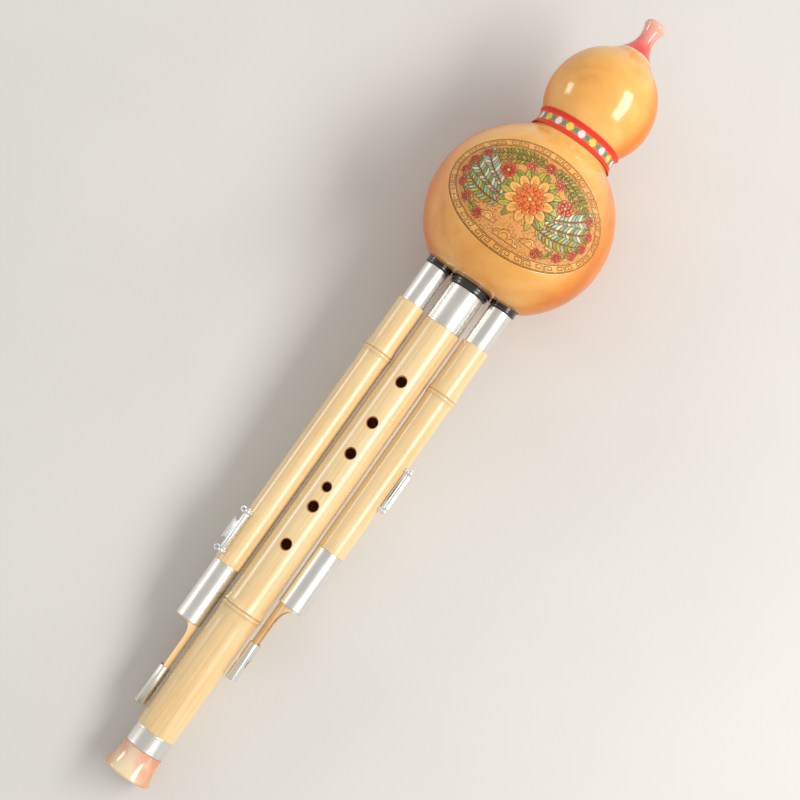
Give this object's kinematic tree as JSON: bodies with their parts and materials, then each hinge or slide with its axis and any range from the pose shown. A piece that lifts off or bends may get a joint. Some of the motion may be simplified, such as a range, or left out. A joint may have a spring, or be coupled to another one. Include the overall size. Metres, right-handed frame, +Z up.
{
  "type": "hulusi",
  "caption": "Gourd free-reed wind instrument: a melody pipe with finger holes between two drone pipes with flap keys, a bell end and a turned mouthpiece",
  "frame": {"origin": "on the table, under the middle of the instrument's length, midway between its sides", "axes": "+Y along the table towards the mouthpiece, +Z up, away from the table and on the side of the finger holes, +X towards the short drone pipe; the instrument's own axis rises 6 degrees towards the gourd"},
  "size_m": [0.0968, 0.4582, 0.0965],
  "materials": {
    "bamboo": "varnished pale honey bamboo with fine fibres along the pipe",
    "gourd_skin": "glossy varnished calabash, orange-yellow with darker mottling",
    "polished_steel": "polished silver-coloured metal bands",
    "chrome_keys": "bright chrome",
    "black_resin": "glossy black",
    "bell_resin": "cream with pink and orange swirls, glossy",
    "mouthpiece_resin": "red at the seat, fading to pale pink at the tip, glossy",
    "woven_trim": "woven band with red edges and a light patterned middle",
    "tube_resin": "dark brown, matte",
    "reed_brass": "bare brass",
    "seal_rubber": "black rubber",
    "pad_leather": "pale leather"
  },
  "bodies": {
    "gourd": {"gourd_shell": "gourd_skin", "mouthpiece": "mouthpiece_resin", "waist_ribbon": "woven_trim", "main_socket": "black_resin", "left_socket": "black_resin", "right_socket": "black_resin"},
    "melody_pipe": {"main_pipe": "bamboo", "main_upper_ferrule": "polished_steel", "main_lower_ferrule": "polished_steel", "bell_end": "bell_resin", "main_reed_tube": "tube_resin", "main_reed": "reed_brass", "main_reed_plug": "tube_resin", "main_seal": "seal_rubber"},
    "left_drone": {"left_pipe": "bamboo", "left_upper_ferrule": "polished_steel", "left_lower_ferrule": "polished_steel", "left_tail_ferrule": "polished_steel", "left_reed_tube": "tube_resin", "left_reed": "reed_brass", "left_reed_plug": "tube_resin", "left_seal": "seal_rubber", "left_key_mount": "chrome_keys", "left_key_rod": "chrome_keys"},
    "right_drone": {"right_pipe": "bamboo", "right_upper_ferrule": "polished_steel", "right_lower_ferrule": "polished_steel", "right_tail_ferrule": "polished_steel", "right_reed_tube": "tube_resin", "right_reed": "reed_brass", "right_reed_plug": "tube_resin", "right_seal": "seal_rubber", "right_key_mount": "chrome_keys", "right_key_rod": "chrome_keys"},
    "left_key": {"left_key_lever": "chrome_keys", "left_key_pad": "pad_leather"},
    "right_key": {"right_key_lever": "chrome_keys", "right_key_pad": "pad_leather"}
  },
  "joints": [
    {"name": "melody_pipe_pull", "type": "slide", "parent": "gourd", "child": "melody_pipe", "axis": [0, -0.9944, -0.1054], "range_m": [0, 0.06]},
    {"name": "left_drone_pull", "type": "slide", "parent": "gourd", "child": "left_drone", "axis": [0, -0.9944, -0.1054], "range_m": [0, 0.021]},
    {"name": "right_drone_pull", "type": "slide", "parent": "gourd", "child": "right_drone", "axis": [0, -0.9944, -0.1054], "range_m": [0, 0.052]},
    {"name": "left_key_hinge", "type": "hinge", "parent": "left_drone", "child": "left_key", "pos_m": [-0.02464, -0.10199, 0.03543], "axis": [0, 0.9944, 0.1054], "range_deg": [0, 45]},
    {"name": "right_key_hinge", "type": "hinge", "parent": "right_drone", "child": "right_key", "pos_m": [0.02926, -0.04029, 0.03671], "axis": [0, -0.9944, -0.1054], "range_deg": [0, 45]}
  ]
}
